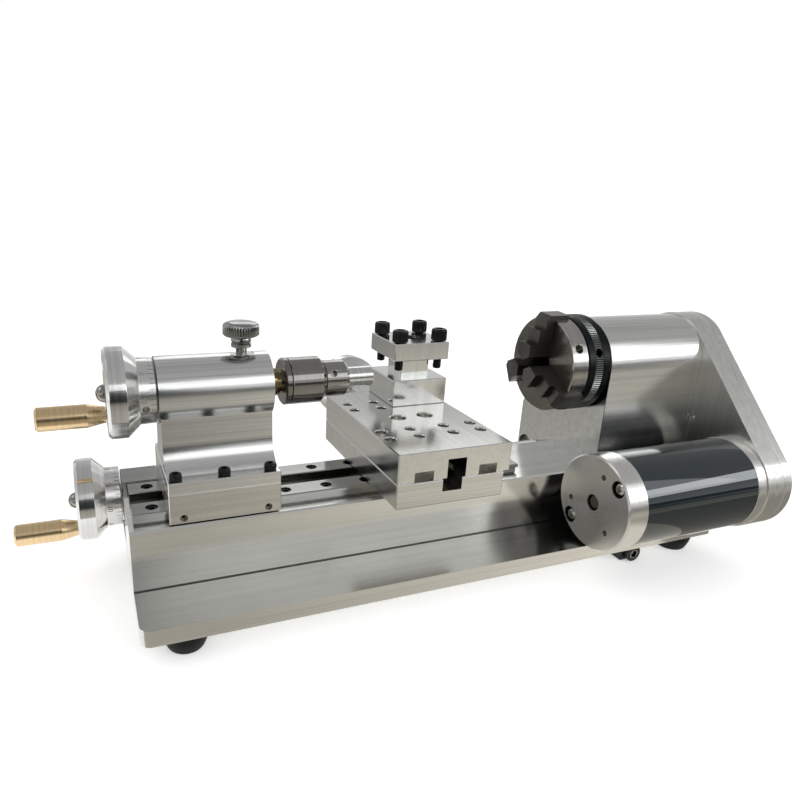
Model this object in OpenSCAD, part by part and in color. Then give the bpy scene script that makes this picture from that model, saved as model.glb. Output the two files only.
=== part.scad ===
// Mini lathe: bed, headstock with three-jaw chuck, saddle and cross-slide, tailstock, side motor
// Frame: underside of the base plate is z 0, the spindle axis lies over y 0,
// x runs from the tailstock end to the headstock end, y runs away from the motor side

/* [Base] */
// Length of the base plate
base_l = 396; // [376:1:480]
// Width of the base plate
base_w = 130; // [128:1:160]
// Thickness of the base plate
base_t = 10; // [9:0.5:14]
// Distance from the spindle line to the plate's motor-side edge
base_near = 69; // [66:0.5:72]
// Diameter of a rubber foot
foot_d = 25; // [20:0.5:32]
// Height of a rubber foot
foot_h = 12; // [12:0.5:18]

/* [Bed] */
// Height of the bed block
bed_h = 36.7; // [34:0.1:46]
// Width of one way strip
way_w = 14.5; // [13:0.1:18]
// Height of the way strips above the bed block
way_h = 5.2; // [4.8:0.1:7]
// Width of the slot between the way strips
slot_w = 13.6; // [12:0.1:16]
// Width of the open ledge beside the near strip
ledge_w = 10.7; // [8:0.1:14]
// Spacing of the way screws
way_pitch = 25.85; // [22:0.05:28]

/* [Headstock] */
// Height of the spindle axis above the way strips
centre_h = 63.7; // [62:0.1:76]
// Length of the headstock block
head_l = 82; // [72:1:96]
// Radius of the headstock's rounded top
head_r = 31; // [27:0.5:34]
// Diameter of the spindle
spindle_d = 20; // [17:0.5:22]
// Thickness of each plate of the belt housing
belt_plate_t = 7.5; // [7:0.1:10]

/* [Chuck] */
// Diameter of the chuck body
chuck_d = 65; // [60:0.5:72]
// Length of the chuck body in front of the scroll ring
chuck_front = 12.8; // [12:0.1:16]
// Width of a jaw
jaw_w = 12.4; // [10:0.2:14]
// Diameter of the hole through the chuck and the spindle
spindle_hole_d = 11; // [8:0.5:12]

/* [Motor] */
// Diameter of the motor
motor_d = 62.4; // [56:0.2:63]
// Length of the motor in front of its mounting plate
motor_l = 117; // [100:1:140]

/* [Saddle and cross-slide] */
// Length of saddle and cross-slide across the bed
slide_l = 119.6; // [112:0.2:130]
// Width of the cross-slide along the bed
slide_w = 75; // [70:0.2:88]
// Thickness of the saddle
saddle_t = 15.5; // [14:0.1:19]
// Thickness of the cross-slide
slide_t = 18.4; // [18:0.1:22]
// Diameter of the feed screws
screw_d = 8; // [7:0.5:9]

/* [Tool post] */
// Width of the square tool post
post_w = 40.4; // [38:0.2:44]
// Height of the tool post's lower block
post_block_h = 18.1; // [16:0.1:21]
// Height of the slot that takes the tools
tool_slot_h = 13.2; // [11:0.1:16]
// Thickness of the tool post's top plate
post_top_t = 11.8; // [10:0.1:14]

/* [Tailstock] */
// Length of the tailstock
tail_l = 62.4; // [56:0.2:75]
// Diameter of the tailstock barrel
barrel_d = 37.4; // [34:0.2:42]
// Diameter of the quill
quill_d = 19.5; // [17:0.1:22]

/* [Handwheels] */
// Diameter of a handwheel
wheel_d = 50; // [44:0.5:54]
// Diameter of a brass handle
handle_d = 13.2; // [11:0.2:14]
// Length of a brass handle
handle_l = 36.2; // [28:0.2:40]

/* [Fits] */
// Radial clearance of every running fit
fit_gap = 0.05; // [0.02:0.01:0.08]
// Clearance of flat faces that slide on each other
slide_gap = 0.1; // [0.05:0.05:0.2]

/* [Hidden] */
$fn = 96;
x_left = -base_l / 2;
x_head1 = base_l / 2 - 1.8;
x_head0 = x_head1 - head_l;
y_near = -base_near;
y_far = base_w - base_near;
z_base = base_t;
z_bed = z_base + bed_h;
z_way = z_bed + way_h;
z_axis = z_way + centre_h;
y_way = slot_w / 2 + way_w;
y_bed0 = -(y_way + ledge_w);
y_bed1 = y_way + 1.7;
foot_x = base_l / 2 - 24;
foot_y0 = y_near + 14;
foot_y1 = y_far - 14;
way_end = x_head0 - 58.4;
way_first = x_left + 13.7;
way_count = floor((way_end - 5 - way_first) / way_pitch) + 1;
notch_d = 2.5;
notch_h = 3;
key_w = slot_w + 3.4;

// Leadscrew and its bracket
lead_y = y_bed1 + 14;
lead_z = z_bed - 8.7;
lead_hole_r = screw_d / 2 + fit_gap;
bracket_l = 22.5;

// Headstock and motor
spindle_r = spindle_d / 2;
bearing_r = 15;
flare_y = 58;
flare_z = z_bed + 22;
head_bolt_x = [x_head0 + 18, x_head1 - 30];
head_bolt_y = [-head_r + 12, flare_y - 20];
motor_y = y_near - 1.1;
motor_r = motor_d / 2;
motor_z = z_base + 32.3;
housing_r = 32;
x_ring0 = x_head1 + belt_plate_t;
x_ring1 = x_ring0 + belt_plate_t;
x_cover = x_ring1 + belt_plate_t;
x_motor0 = x_head1 - motor_l;
pulley_big = 18;
pulley_small = 12;

// Chuck
chuck_r = chuck_d / 2;
ring_r = chuck_r + 0.7;
x_flange1 = x_head0 - 0.5;
x_flange0 = x_flange1 - 2.4;
x_ringc1 = x_flange0 - 0.3;
x_ringc0 = x_ringc1 - 17.3;
x_body1 = x_ringc0 - 0.3;
x_chuck = x_body1 - chuck_front;
ring_hub_r = 24;
jaw_depth = 11.3;
jaw_first = 94;
key_hole_turn = 56;

// Saddle and cross-slide
x_slide0 = x_left + 143;
x_slide1 = x_slide0 + slide_w;
x_saddle0 = x_slide0;
x_saddle1 = x_slide1 - 3.7;
y_slide0 = -slide_l / 2;
y_slide1 = slide_l / 2;
z_saddle0 = z_way + slide_gap;
z_saddle1 = z_saddle0 + saddle_t;
z_slide0 = z_saddle1 + slide_gap;
z_slide1 = z_slide0 + slide_t;
x_mid = (x_slide0 + x_slide1) / 2;
x_cross = x_mid + 0.6;
z_cross = z_slide0 + 6.1;
hole_dx = 31.2;
hole_dx2 = 11.7;
hole_dy = 34.4;
hole_dy2 = 21.7;
channel_w = 12.3;
channel_h = 6.4;
channel_x1 = x_mid - 20.6;
channel_x2 = x_mid + 21.9;

// Tool post
post_x = x_mid + 15.9;
post_y = y_slide1 - 19.2;
z_block = z_slide1 + post_block_h;
z_top0 = z_block + tool_slot_h;
z_top1 = z_top0 + post_top_t;
bolt_off = post_w / 2 - 5.6;

// Tailstock
x_tail0 = x_left + 21.3;
x_tail1 = x_tail0 + tail_l;
tail_y = y_way + 10.4;
z_flange0 = z_way + 13.4;
z_flange1 = z_flange0 + 7;
barrel_r = barrel_d / 2;
quill_r = quill_d / 2;
x_quill1 = x_tail1 + 7.2;
x_thumb = x_tail1 - 14.7;
neck_w = barrel_r - 5.2;
neck_top_r = 4;
neck_foot_r = 17;

// Handwheel lengths
dial_l = 8.9;
dial_r = barrel_d / 2 - 0.3;
cone_l = 6;
rim_l = 10.5;
wheel_l = dial_l + cone_l + rim_l;
pin_off = 18.5;
wheel_gap = 0.6;

// Round bar along x
module xrod(r, x0, x1, y = 0, z = 0) {
    translate([x0, y, z]) rotate([0, 90, 0]) cylinder(r = r, h = x1 - x0);
}

// Round bar along y
module yrod(r, y0, y1, x, z) {
    translate([x, y0, z]) rotate([-90, 0, 0]) cylinder(r = r, h = y1 - y0);
}

// Round bar along z
module zrod(r, z0, z1, x = 0, y = 0) {
    translate([x, y, z0]) cylinder(r = r, h = z1 - z0);
}

// Box between two corners
module box(x0, x1, y0, y1, z0, z1) {
    translate([x0, y0, z0]) cube([x1 - x0, y1 - y0, z1 - z0]);
}

// Rectangle with cut corners
module cut_rect(w, h, c) {
    polygon([[c, 0], [w - c, 0], [w, c], [w, h - c], [w - c, h], [c, h], [0, h - c], [0, c]]);
}

// Box with a small chamfer on every edge
module block(x0, x1, y0, y1, z0, z1, c = 0.5) {
    intersection() {
        translate([x0, y0, z0]) linear_extrude(z1 - z0) cut_rect(x1 - x0, y1 - y0, c);
        translate([x0, y0, z0]) rotate([90, 0, 90]) linear_extrude(x1 - x0) cut_rect(y1 - y0, z1 - z0, c);
        translate([x0, y1, z0]) rotate([90, 0, 0]) linear_extrude(y1 - y0) cut_rect(x1 - x0, z1 - z0, c);
    }
}

// Profile of y and z values drawn out along x
module along_x(x0, x1) {
    translate([x0, 0, 0]) rotate([90, 0, 90]) linear_extrude(x1 - x0) children();
}

// Turned piece with its axis along x, points are radius and x
module turned_x(points, y = 0, z = 0) {
    translate([0, y, z]) rotate([0, 90, 0]) rotate_extrude() polygon(points);
}

// Socket head screw with its head from z 0 upward and its shank downward
module socket_screw(d, head_d, head_h, shank) {
    difference() {
        union() {
            rotate_extrude() polygon([
                [0, 0], [head_d / 2, 0], [head_d / 2, head_h - 0.5],
                [head_d / 2 - 0.5, head_h], [0, head_h]
            ]);
            translate([0, 0, -shank]) cylinder(d = d, h = shank + 0.5);
        }
        translate([0, 0, head_h * 0.45]) cylinder(d = head_d * 0.58, h = head_h, $fn = 6);
    }
}

// Slab round the spindle and motor axes, with round ends of radius r1 and r2
module housing_slab(x0, x1, r1, r2) {
    dy = motor_y;
    dz = motor_z - z_axis;
    dist = norm([dy, dz]);
    a0 = atan2(dz, dy);
    da = acos((r1 - r2) / dist);
    s1 = r1 - 0.03;
    s2 = r2 - 0.03;
    along_x(x0, x1) polygon([
        [s1 * cos(a0 + da), z_axis + s1 * sin(a0 + da)],
        [motor_y + s2 * cos(a0 + da), motor_z + s2 * sin(a0 + da)],
        [motor_y + s2 * cos(a0 - da), motor_z + s2 * sin(a0 - da)],
        [s1 * cos(a0 - da), z_axis + s1 * sin(a0 - da)]
    ]);
    xrod(r1, x0, x1, 0, z_axis);
    xrod(r2, x0, x1, motor_y, motor_z);
}

// Plan of the base plate with rounded corners
module plate_plan(r) {
    translate([x_left + r, y_near]) square([base_l - 2 * r, base_w]);
    translate([x_left, y_near + r]) square([base_l, base_w - 2 * r]);
    for (x = [x_left + r, -x_left - r], y = [y_near + r, y_far - r]) {
        translate([x, y]) circle(r = r);
    }
}

// Places of the bolts that hold the bed and the headstock to the plate
module base_bolt_places() {
    for (x = [x_left + 40, x_head0 - 40], y = [y_bed0 + 8, y_bed1 - 8]) {
        translate([x, y, 0]) children();
    }
    for (x = head_bolt_x, y = head_bolt_y) {
        translate([x, y, 0]) children();
    }
}

module base_plate() {
    color([0.78, 0.77, 0.74]) difference() {
        linear_extrude(base_t) plate_plan(6);
        for (x = [-foot_x, foot_x], y = [foot_y0, foot_y1]) {
            translate([x, y, -1]) cylinder(r = 2.5, h = 9);
        }
        base_bolt_places() {
            translate([0, 0, -1]) cylinder(r = 5.2, h = 6.2);
            translate([0, 0, -1]) cylinder(r = 3.1, h = base_t + 2);
        }
    }
}

// Four rubber feet, each moulded round its own threaded stud
module feet() {
    foot_r = foot_d / 2;
    color([0.06, 0.06, 0.065]) for (x = [-foot_x, foot_x], y = [foot_y0, foot_y1]) {
        translate([x, y, 0]) rotate_extrude() polygon([
            [0, 7.5], [2.45, 7.5], [2.45, 0], [foot_r, 0], [foot_r, -foot_h * 0.3],
            [foot_r - 0.5, -foot_h * 0.5], [foot_r - 1.4, -foot_h * 0.72],
            [foot_r - 2.2, -foot_h * 0.88], [foot_r - 3.2, -foot_h], [4, -foot_h],
            [4, -foot_h + 3], [0, -foot_h + 3]
        ]);
    }
}

// Round power socket in a small housing under the plate's edge
module power_inlet() {
    inlet_x = 128;
    inlet_z = -5.9;
    color([0.07, 0.07, 0.07]) difference() {
        union() {
            yrod(5.8, y_near + 3, y_near + 14, inlet_x, inlet_z);
            block(inlet_x - 8, inlet_x + 8, y_near + 6, y_near + 24, inlet_z - 5.8, 0, 0.6);
        }
        yrod(3.2, y_near + 2, y_near + 11, inlet_x, inlet_z);
    }
}

module bed() {
    color([0.76, 0.75, 0.72]) difference() {
        along_x(x_left, x_head0) polygon([
            [y_bed0 + 0.8, z_base], [y_bed1 - 0.8, z_base], [y_bed1, z_base + 0.8],
            [y_bed1, z_bed], [y_bed0 + 1, z_bed], [y_bed0, z_bed - 1], [y_bed0, z_base + 0.8]
        ]);
        box(x_left + 3, way_end, -key_w / 2 - 0.3, key_w / 2 + 0.3, z_bed - 16, z_bed + 1);
        way_screw_places() zrod(2 + fit_gap, z_bed - 9, z_bed + 1);
        for (x = [x_left + 40, x_head0 - 40], y = [y_bed0 + 8, y_bed1 - 8]) {
            zrod(3 + fit_gap, z_base - 1, z_base + 12, x, y);
        }
    }
}

// Places of the screws in both way strips
module way_screw_places() {
    for (i = [0 : way_count - 1], s = [-1, 1]) {
        translate([way_first + i * way_pitch, s * (slot_w / 2 + way_w / 2 + 0.2), 0]) children();
    }
}

// One way strip with a notch under its outer edge
module way_strip(side) {
    y0 = slot_w / 2;
    color([0.62, 0.62, 0.6]) difference() {
        along_x(x_left + 3, way_end) scale([side, 1]) polygon([
            [y0, z_bed], [y_way - notch_d, z_bed], [y_way - notch_d, z_bed + notch_h],
            [y_way, z_bed + notch_h], [y_way, z_way - 0.5], [y_way - 0.5, z_way],
            [y0 + 0.5, z_way], [y0, z_way - 0.5]
        ]);
        way_screw_places() {
            zrod(3.5, z_way - 3.8, z_way + 1);
            zrod(2 + fit_gap, z_bed - 1, z_way);
        }
    }
}

module way_near() {
    way_strip(-1);
}

module way_far() {
    way_strip(1);
}

// Low-head screws sunk in the strips
module way_screws() {
    color([0.12, 0.12, 0.13]) way_screw_places() {
        translate([0, 0, z_way - 3.8]) socket_screw(4, 6.8, 2.9, 9);
    }
}

module base_bolts() {
    color([0.12, 0.12, 0.13]) base_bolt_places() {
        translate([0, 0, 5.2]) rotate([180, 0, 0]) socket_screw(6, 10, 4.6, 16);
    }
}

module leadscrew_bracket() {
    color([0.7, 0.69, 0.67]) difference() {
        block(x_left, x_left + bracket_l, y_bed1, lead_y + 9, lead_z - 14, z_way, 0.6);
        xrod(lead_hole_r, x_left - 1, x_left + bracket_l + 1, lead_y, lead_z);
    }
}

// Leadscrew with its stop collar and the dome nut that holds the handwheel
module leadscrew() {
    x0 = x_left - wheel_gap - wheel_l;
    r = screw_d / 2;
    color([0.66, 0.66, 0.66]) {
        xrod(r, x0 - 1, x_head0 + 10, lead_y, lead_z);
        turned_x([
            [0, x0 - 4.8], [1.8, x0 - 4.5], [3.4, x0 - 3.6], [4.5, x0 - 2.2], [4.9, x0 - 0.6],
            [4.9, x0], [0, x0]
        ], lead_y, lead_z);
        xrod(7, x_left + bracket_l + 0.3, x_left + bracket_l + 5, lead_y, lead_z);
    }
}

// Handwheel parts point along +z from their dial's inner face
module dial_shape() {
    difference() {
        rotate_extrude() polygon([
            [screw_d / 2, 0], [dial_r - 1, 0], [dial_r - 0.4, 0.6], [dial_r, dial_l], [screw_d / 2, dial_l]
        ]);
        for (i = [0 : 39]) {
            rotate([0, 0, i * 9]) translate([dial_r - 0.5, -0.15, 0.6]) {
                cube([2, 0.3, (i % 5 == 0) ? 4.6 : 2.8]);
            }
        }
    }
}

module wheel_shape() {
    r = wheel_d / 2;
    rotate_extrude() polygon([
        [screw_d / 2, dial_l], [dial_r, dial_l], [dial_r + 0.6, dial_l + 0.2], [r - 1, dial_l + cone_l - 0.6],
        [r, dial_l + cone_l + 0.4], [r, wheel_l - 1.6], [r - 1.6, wheel_l], [r - 5, wheel_l],
        [r - 6, wheel_l - 1.5], [9, wheel_l - 1.5], [8, wheel_l - 0.5], [screw_d / 2, wheel_l - 0.5]
    ]);
    translate([pin_off, 0, wheel_l - 2]) cylinder(r = 3, h = handle_l - 3);
    translate([pin_off, 0, wheel_l - 1.6]) cylinder(r = 5.4, h = 1.7);
}

// Brass handle, narrow at the wheel and straight toward its end
module handle_shape() {
    rh = handle_d / 2;
    z0 = wheel_l + 0.3;
    translate([pin_off, 0, 0]) rotate_extrude() polygon([
        [3 + fit_gap, z0], [rh * 0.7, z0], [rh * 0.72, z0 + 1], [rh * 0.97, z0 + 8.8],
        [rh, z0 + 9.8], [rh, z0 + handle_l - 1.4],
        [rh - 1.2, z0 + handle_l - 0.3], [0, z0 + handle_l - 0.3],
        [0, z0 + handle_l - 4.5], [3 + fit_gap, z0 + handle_l - 4.5]
    ]);
}

// Turns a handwheel part to face -x on the leadscrew
module at_lead() {
    translate([x_left - wheel_gap, lead_y, lead_z]) rotate([0, -90, 0]) children();
}

module lead_dial() {
    color([0.75, 0.74, 0.71]) at_lead() dial_shape();
}

module lead_wheel() {
    color([0.8, 0.79, 0.77]) at_lead() rotate([0, 0, 182]) wheel_shape();
}

module lead_handle() {
    color([0.72, 0.53, 0.27]) at_lead() rotate([0, 0, 182]) handle_shape();
}

// Nut on the leadscrew, hung from the saddle
module feed_nut() {
    color([0.72, 0.53, 0.27]) difference() {
        union() {
            block(x_mid - 15, x_mid + 15, lead_y - 8, lead_y + 8, lead_z - 8, z_bed, 0.5);
            box(x_mid - 12, x_mid + 12, lead_y - 7, lead_y + 7, z_bed - 1, z_saddle0);
        }
        xrod(lead_hole_r, x_mid - 16, x_mid + 16, lead_y, lead_z);
    }
}

// Saddle plate with its key in the bed slot and two guide bars for the cross-slide
module saddle() {
    y_key = slot_w / 2 - slide_gap;
    color([0.77, 0.76, 0.73]) difference() {
        union() {
            block(x_saddle0, x_saddle1, y_slide0, y_slide1, z_saddle0, z_saddle1, 0.6);
            box(x_saddle0 + 5, x_mid + 15, -y_key, y_key, z_bed - 2, z_saddle0 + 1);
            box(x_saddle0 + 5, x_mid + 15, -key_w / 2, key_w / 2, z_bed - 7, z_bed - slide_gap);
            for (x = [channel_x1, channel_x2]) {
                box(
                    x - channel_w / 2 + slide_gap, x + channel_w / 2 - slide_gap,
                    y_slide0 + 14, y_slide1 - 6, z_saddle1 - 1, z_slide0 + channel_h - slide_gap
                );
            }
        }
        box(x_mid - 7.9, x_mid + 4.8, y_slide0 - 1, y_slide1 + 1, z_saddle1 - 7.6, z_saddle1 + 1);
    }
}

// Nut of the cross screw, fixed in the saddle's groove
module cross_nut() {
    color([0.72, 0.53, 0.27]) difference() {
        union() {
            box(x_mid - 5.2, x_mid + 4.6, -9, 9, z_saddle1 - 7.6, z_slide0 + 1);
            box(x_cross - 5.9, x_cross + 5.9, -9, 9, z_slide0 + 0.2, z_slide0 + 11.8);
        }
        yrod(screw_d / 2 + fit_gap, -10, 10, x_cross, z_cross);
    }
}

module cross_slide() {
    color([0.8, 0.79, 0.76]) difference() {
        block(x_slide0, x_slide1, y_slide0, y_slide1, z_slide0, z_slide1, 0.6);
        box(x_cross - 6.15, x_cross + 6.15, y_slide0 - 1, y_slide1 + 1, z_slide0 - 1, z_slide0 + 12.3);
        for (x = [channel_x1, channel_x2]) {
            box(
                x - channel_w / 2, x + channel_w / 2,
                y_slide0 - 1, y_slide1 + 1, z_slide0 - 1, z_slide0 + channel_h
            );
        }
        for (x = [-hole_dx, -hole_dx2, hole_dx2, hole_dx], y = [-hole_dy, -hole_dy2, hole_dy2, hole_dy]) {
            if (x < 0 || y < 0) {
                slide_hole(x_mid + x, y, 3.25);
            }
        }
        for (x = [-9.6, 9.6]) slide_hole(x_mid + x, 0, 5);
        zrod(4 + fit_gap, z_slide1 - 6, z_slide1 + 1, post_x, post_y);
    }
}

// Screw hole in the cross-slide's top with a small countersink
module slide_hole(x, y, r) {
    translate([x, y, z_slide1 - 5.6]) cylinder(r = r, h = 7);
    translate([x, y, z_slide1 - 0.7]) cylinder(r1 = r, r2 = r + 1, h = 1);
}

// Bearing block at the far end of the cross-slide with a long round boss
module cross_bracket() {
    color([0.76, 0.75, 0.72]) difference() {
        union() {
            block(x_cross - 14, x_cross + 14, y_slide1, y_slide1 + 12, z_slide0 + 0.5, z_slide1, 0.6);
            yrod(9, y_slide1 + 11, y_slide1 + 36, x_cross, z_cross + 0.2);
        }
        yrod(screw_d / 2 + fit_gap, y_slide1 - 1, y_slide1 + 37, x_cross, z_cross);
        box(x_cross - 10, x_cross + 10, y_slide1 + 10, y_slide1 + 40, z_slide0 - 20, z_slide0 + 0.5);
    }
}

module cross_screw() {
    y1 = y_slide1 + 36 + wheel_gap + wheel_l;
    color([0.66, 0.66, 0.66]) {
        yrod(screw_d / 2, -32, y1 + 1, x_cross, z_cross);
        yrod(5.6, y_slide1 - 5, y_slide1 - 0.3, x_cross, z_cross);
        translate([x_cross, y1, z_cross]) rotate([-90, 0, 0]) rotate_extrude() polygon([
            [0, 0], [4.9, 0], [4.9, 0.6], [4.5, 2.2], [3.4, 3.6], [1.8, 4.5], [0, 4.8]
        ]);
    }
}

// Turns a handwheel part to face +y on the cross screw
module at_cross() {
    translate([x_cross, y_slide1 + 36 + wheel_gap, z_cross]) rotate([-90, 0, 0]) children();
}

module cross_dial() {
    color([0.75, 0.74, 0.71]) at_cross() dial_shape();
}

module cross_wheel() {
    color([0.8, 0.79, 0.77]) at_cross() rotate([0, 0, 40]) wheel_shape();
}

module cross_handle() {
    color([0.72, 0.53, 0.27]) at_cross() rotate([0, 0, 40]) handle_shape();
}

// Square tool post, one slot round all four sides
module tool_post() {
    h = post_w / 2;
    color([0.79, 0.78, 0.75]) difference() {
        union() {
            block(post_x - h, post_x + h, post_y - h, post_y + h, z_slide1, z_block, 0.5);
            block(post_x - 10.5, post_x + 10.5, post_y - 10.5, post_y + 10.5, z_block - 1, z_top0 + 1, 0.3);
            block(post_x - h, post_x + h, post_y - h, post_y + h, z_top0, z_top1, 0.5);
        }
        zrod(4 + fit_gap, z_slide1 - 1, z_top1, post_x, post_y);
        zrod(6.7, z_top1 - 8.4, z_top1 + 1, post_x, post_y);
        for (sx = [-1, 1], sy = [-1, 1]) {
            zrod(3 + fit_gap, z_top0 - 1, z_top1 + 1, post_x + sx * bolt_off, post_y + sy * bolt_off);
        }
    }
}

module post_bolt() {
    color([0.1, 0.1, 0.11]) translate([post_x, post_y, z_top1 - 8.4]) {
        socket_screw(8, 13, 7.6, z_top1 - z_slide1 - 8.4 + 5.6);
    }
}

// Tool clamping screw at one corner of the post
module clamp_bolt(sx, sy) {
    color([0.1, 0.1, 0.11]) {
        translate([post_x + sx * bolt_off, post_y + sy * bolt_off, z_top1 + 0.5]) {
            socket_screw(6, 10.8, 8, post_top_t + 0.5 + 7.3);
        }
    }
}

module clamp_bolt_1() {
    clamp_bolt(-1, -1);
}

module clamp_bolt_2() {
    clamp_bolt(1, -1);
}

module clamp_bolt_3() {
    clamp_bolt(1, 1);
}

module clamp_bolt_4() {
    clamp_bolt(-1, 1);
}

// Tailstock foot on the strips, with a skirt and lip beside the near strip
module tail_base() {
    y_in = -y_way - 0.4;
    color([0.77, 0.76, 0.73]) difference() {
        union() {
            block(x_tail0, x_tail1, -tail_y, tail_y, z_way + slide_gap, z_flange0, 0.4);
            block(x_tail0, x_tail1, -tail_y, y_in, z_bed + 1.1, z_way + 3, 0.4);
            box(x_tail0 + 2, x_tail1 - 2, y_in - 1, y_in + 2.2, z_bed + 1.1, z_bed + notch_h - 0.2);
        }
        for (x = [x_tail0 + 7.6, x_tail1 - 7.4]) {
            yrod(2.1, -tail_y - 1, y_in + 1, x, z_way - 0.8);
        }
        tail_screw_places() zrod(2 + fit_gap, z_flange0 - 9, z_flange0 + 1);
        zrod(3 + fit_gap, z_way - 1, z_flange0 + 1, (x_tail0 + x_tail1) / 2, 0);
    }
}

// Clamp key in the bed slot with its screw up into the foot
module tail_clamp() {
    xm = (x_tail0 + x_tail1) / 2;
    color([0.5, 0.5, 0.5]) {
        box(xm - 16, xm + 16, -key_w / 2, key_w / 2, z_bed - 6.5, z_bed - slide_gap);
        box(xm - 16, xm + 16, -slot_w / 2 + 0.2, slot_w / 2 - 0.2, z_bed - 1, z_way);
        zrod(3, z_way - 1, z_flange0 - 1, xm, 0);
    }
}

module tail_screw_places() {
    for (x = [x_tail0 + 4.7, x_tail0 + 31.1, x_tail1 - 5.2], s = [-1, 1]) {
        translate([x, s * (tail_y - 4.7), 0]) children();
    }
}

// Tailstock flange, waisted neck and barrel in one piece
module tail_body() {
    foot_w = neck_w + neck_foot_r * 0.62;
    corner_w = barrel_r * (neck_w + neck_top_r) / (barrel_r + neck_top_r);
    z_corner = z_axis - sqrt((barrel_r + neck_top_r) ^ 2 - (neck_w + neck_top_r) ^ 2);
    z_foot = z_flange1 + neck_foot_r * 0.925;
    color([0.78, 0.77, 0.74]) difference() {
        union() {
            block(x_tail0, x_tail1, -tail_y, tail_y, z_flange0, z_flange1, 0.4);
            difference() {
                union() {
                    box(x_tail0 + 0.3, x_tail1 - 0.3, -corner_w, corner_w, z_foot - 1, z_axis - 4);
                    box(x_tail0 + 0.3, x_tail1 - 0.3, -foot_w, foot_w, z_flange1 - 1, z_foot);
                }
                for (s = [-1, 1]) {
                    xrod(neck_foot_r, x_tail0 - 1, x_tail1 + 1, s * (neck_w + neck_foot_r), z_foot);
                    xrod(neck_top_r, x_tail0 - 1, x_tail1 + 1, s * (neck_w + neck_top_r), z_corner);
                    translate([0, s * (neck_w + 10), 0]) {
                        box(x_tail0 - 1, x_tail1 + 1, -10, 10, z_foot, z_corner);
                    }
                }
            }
            xrod(barrel_r, x_tail0 - 0.6, x_tail1, 0, z_axis);
        }
        xrod(quill_r + fit_gap, x_tail0 + 7, x_tail1 + 1, 0, z_axis);
        xrod(screw_d / 2 + fit_gap, x_tail0 - 2, x_tail0 + 8, 0, z_axis);
        zrod(3.1 + fit_gap, z_axis + 2, z_axis + barrel_r + 1, x_thumb);
        zrod(7.2, z_axis + barrel_r - 0.6, z_axis + barrel_r + 1, x_thumb);
        tail_screw_places() zrod(2.2, z_flange0 - 1, z_flange1 + 1);
        tail_screw_places() zrod(3.7, z_flange1, z_flange1 + 9);
        zrod(3.3, z_flange0 - 1, z_flange0 + 2, (x_tail0 + x_tail1) / 2, 0);
    }
}

module tail_screws() {
    color([0.1, 0.1, 0.11]) tail_screw_places() {
        translate([0, 0, z_flange1]) socket_screw(4, 7, 4, 14);
    }
}

// Two set screws that press on the near strip's edge
module tail_set_screws() {
    color([0.1, 0.1, 0.11]) for (x = [x_tail0 + 7.6, x_tail1 - 7.4]) difference() {
        yrod(2.1 - fit_gap, -tail_y + 2.2, -y_way - 0.3, x, z_way - 0.8);
        translate([x, -tail_y + 5, z_way - 0.8]) rotate([90, 0, 0]) cylinder(d = 2, h = 4, $fn = 6);
    }
}

module quill() {
    color([0.72, 0.53, 0.27]) turned_x([
        [screw_d / 2 + fit_gap, x_tail0 + 10], [quill_r, x_tail0 + 10], [quill_r, x_quill1 - 6.2],
        [7, x_quill1], [6.05, x_quill1], [6.05, x_quill1 - 16],
        [screw_d / 2 + fit_gap, x_quill1 - 16]
    ], 0, z_axis);
}

module quill_screw() {
    x0 = x_tail0 - 0.6 - wheel_gap - wheel_l;
    color([0.66, 0.66, 0.66]) {
        xrod(screw_d / 2, x0 - 1, x_quill1 - 38, 0, z_axis);
        turned_x([
            [0, x0 - 4.8], [1.8, x0 - 4.5], [3.4, x0 - 3.6], [4.5, x0 - 2.2], [4.9, x0 - 0.6],
            [4.9, x0], [0, x0]
        ], 0, z_axis);
    }
}

// Turns a handwheel part to face -x on the quill screw
module at_tail() {
    translate([x_tail0 - 0.6 - wheel_gap, 0, z_axis]) rotate([0, -90, 0]) children();
}

module tail_dial() {
    color([0.75, 0.74, 0.71]) at_tail() difference() {
        dial_shape();
        rotate([0, 0, 253]) translate([11, 0, 6.1]) rotate([0, 90, 0]) cylinder(r = 1.85, h = 10);
    }
}

module tail_wheel() {
    color([0.8, 0.79, 0.77]) at_tail() rotate([0, 0, 146]) wheel_shape();
}

module tail_handle() {
    color([0.72, 0.53, 0.27]) at_tail() rotate([0, 0, 146]) handle_shape();
}

// Drill chuck: rear ring, core that carries the sleeve, and nose
module drill_chuck() {
    x0 = x_quill1;
    color([0.2, 0.2, 0.2]) difference() {
        turned_x([
            [0, x0 - 15], [6, x0 - 15], [6, x0 + 1.2], [12.8, x0 + 1.2], [13.9, x0 + 2],
            [13.9, x0 + 4.6], [9, x0 + 4.6], [9, x0 + 26.8], [10.7, x0 + 26.8], [11, x0 + 27.1],
            [11, x0 + 39.6], [8.8, x0 + 41.6], [6.03, x0 + 41.6], [6.03, x0 + 22], [0, x0 + 20]
        ], 0, z_axis);
        for (a = [61, 181, 301]) {
            translate([x0 + 31.3, 0, z_axis]) rotate([a, 0, 0]) translate([0, 0, 8]) cylinder(r = 1.95, h = 4);
        }
    }
}

// Drill chuck sleeve with key teeth on its front bevel
module drill_sleeve() {
    x0 = x_quill1 + 5;
    x1 = x_quill1 + 26.4;
    color([0.13, 0.13, 0.13]) difference() {
        turned_x([
            [9 + fit_gap, x0], [13.4, x0], [13.9, x0 + 0.5], [13.9, x1 - 2.6], [11.4, x1],
            [9 + fit_gap, x1]
        ], 0, z_axis);
        for (i = [0 : 23]) {
            translate([0, 0, z_axis]) rotate([i * 15, 0, 0]) translate([x1 - 2, -0.6, 10.9]) cube([4, 1.2, 4]);
        }
    }
}

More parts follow.
